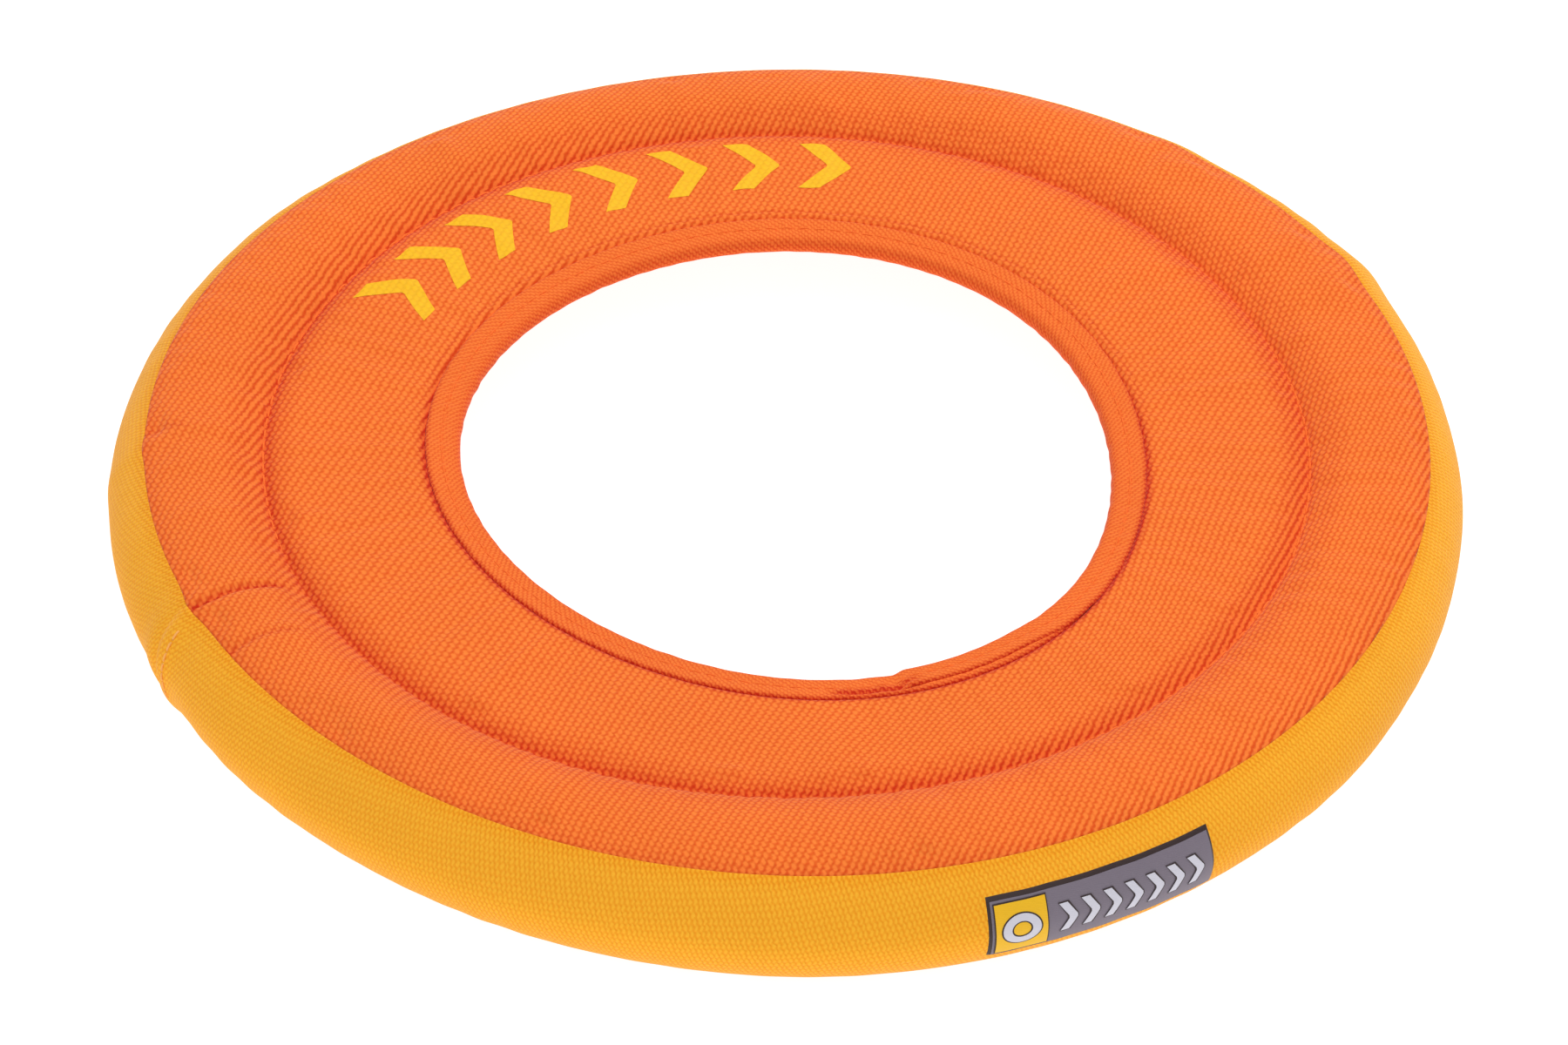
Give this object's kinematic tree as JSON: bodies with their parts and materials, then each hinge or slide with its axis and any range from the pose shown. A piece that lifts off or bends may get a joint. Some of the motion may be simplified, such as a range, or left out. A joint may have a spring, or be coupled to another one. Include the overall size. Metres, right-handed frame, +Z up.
{
  "type": "flying ring",
  "caption": "Soft flying ring: a cloth-covered foam rim with a contrasting side band, a thin padded web sewn to it along a groove, and a tape-bound centre hole.",
  "frame": {"origin": "centre of the ring's outline, on the plane that it lies on", "axes": "+Z up along the ring's axis, towards the printed side; the side label faces -Y and +X"},
  "size_m": [0.23, 0.23, 0.023],
  "materials": {
    "orange_cloth": "heavy plain-weave polyester, matt with a slight yarn sheen",
    "orange_tape": "finer plain-weave tape cut on the bias",
    "yellow_cloth": "heavy plain-weave polyester, matt",
    "foam": "closed-cell foam, matt",
    "orange_thread": "twisted polyester sewing thread",
    "yellow_thread": "twisted polyester sewing thread",
    "yellow_print": "thin heat-pressed film",
    "label": "smooth printed label, satin"
  },
  "bodies": {
    "root": {"rim_foam": "foam", "web_foam": "foam", "top_panel": "orange_cloth", "web_underside_panel": "orange_cloth", "rim_underside_panel": "orange_cloth", "side_band": "yellow_cloth", "hole_binding": "orange_tape", "groove_needle_thread": "orange_thread", "groove_bobbin_thread": "orange_thread", "binding_needle_thread": "orange_thread", "binding_bobbin_thread": "orange_thread", "top_seam_thread": "yellow_thread", "bottom_seam_thread": "yellow_thread", "band_seam_thread": "yellow_thread", "side_label": "label", "print_mark_1": "yellow_print", "print_mark_2": "yellow_print", "print_mark_3": "yellow_print", "print_mark_4": "yellow_print", "print_mark_5": "yellow_print", "print_mark_6": "yellow_print", "print_mark_7": "yellow_print", "print_mark_8": "yellow_print"}
  },
  "joints": []
}
